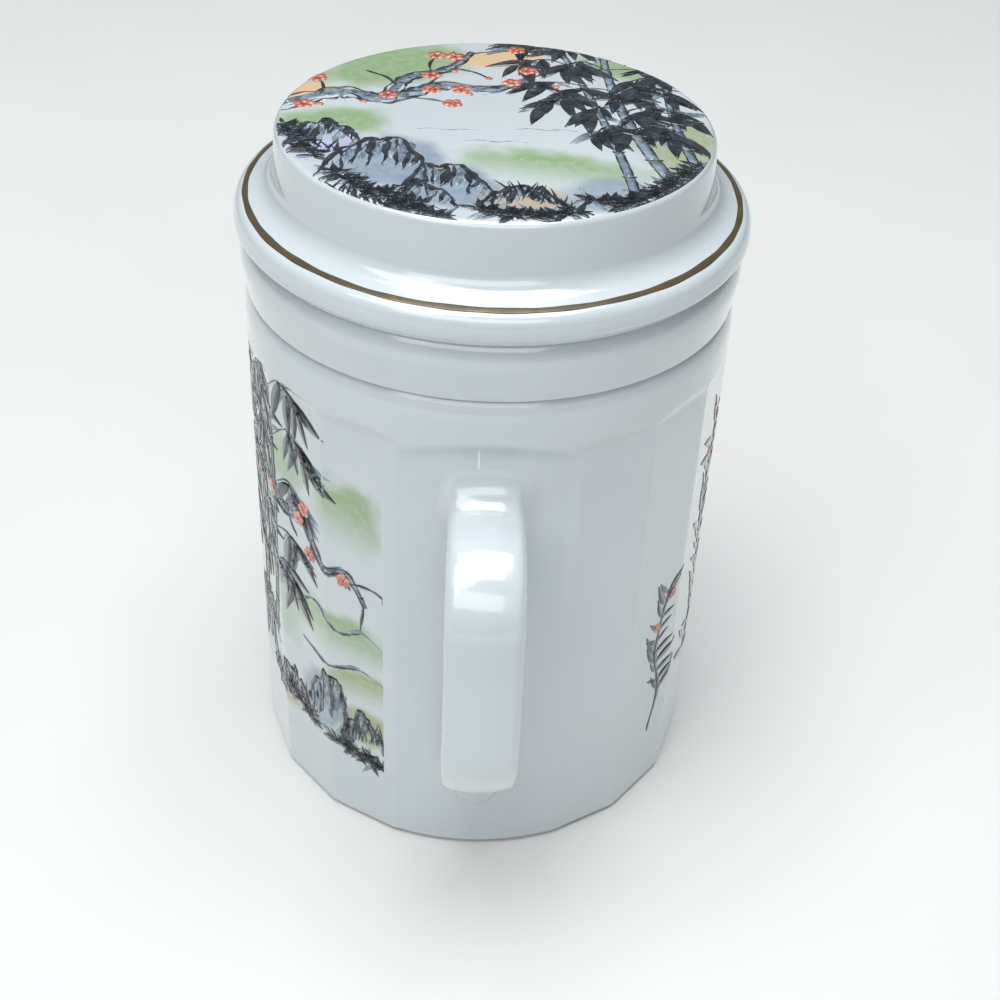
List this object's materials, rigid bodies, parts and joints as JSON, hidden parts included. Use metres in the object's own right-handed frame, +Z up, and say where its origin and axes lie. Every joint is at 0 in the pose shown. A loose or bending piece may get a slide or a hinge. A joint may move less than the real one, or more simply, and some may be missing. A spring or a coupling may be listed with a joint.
{
  "type": "lidded tea mug with infuser",
  "caption": "Tall faceted porcelain tea mug with a flat strap handle, a lift-out infuser with a pierced floor and a stepped lift-off lid with a gilded line.",
  "frame": {"origin": "on the mug's axis, in the plane of the foot ring that it stands on", "axes": "+Z up along the mug's axis, +X from the axis towards the handle, +Y to the right hand of someone who faces the handle"},
  "size_m": [0.109, 0.0856, 0.1261],
  "materials": {
    "mug_porcelain": "white glazed porcelain, glossy",
    "infuser_porcelain": "white glazed porcelain, glossy",
    "lid_porcelain": "white glazed porcelain, glossy",
    "gilding": "thin worn brown gold lustre"
  },
  "bodies": {
    "mug": {"mug_body": "mug_porcelain", "mug_handle": "mug_porcelain"},
    "infuser": {"infuser_collar": "infuser_porcelain", "infuser_basket": "infuser_porcelain", "infuser_strainer": "infuser_porcelain"},
    "lid": {"lid_shell": "lid_porcelain", "lid_locating_ring": "lid_porcelain", "lid_gold_line": "gilding"}
  },
  "joints": [
    {"name": "infuser_lift", "type": "slide", "parent": "mug", "child": "infuser", "axis": [0, 0, 1], "range_m": [0, 0.075]},
    {"name": "lid_lift", "type": "slide", "parent": "infuser", "child": "lid", "axis": [0, 0, 1], "range_m": [0, 0.03]}
  ]
}
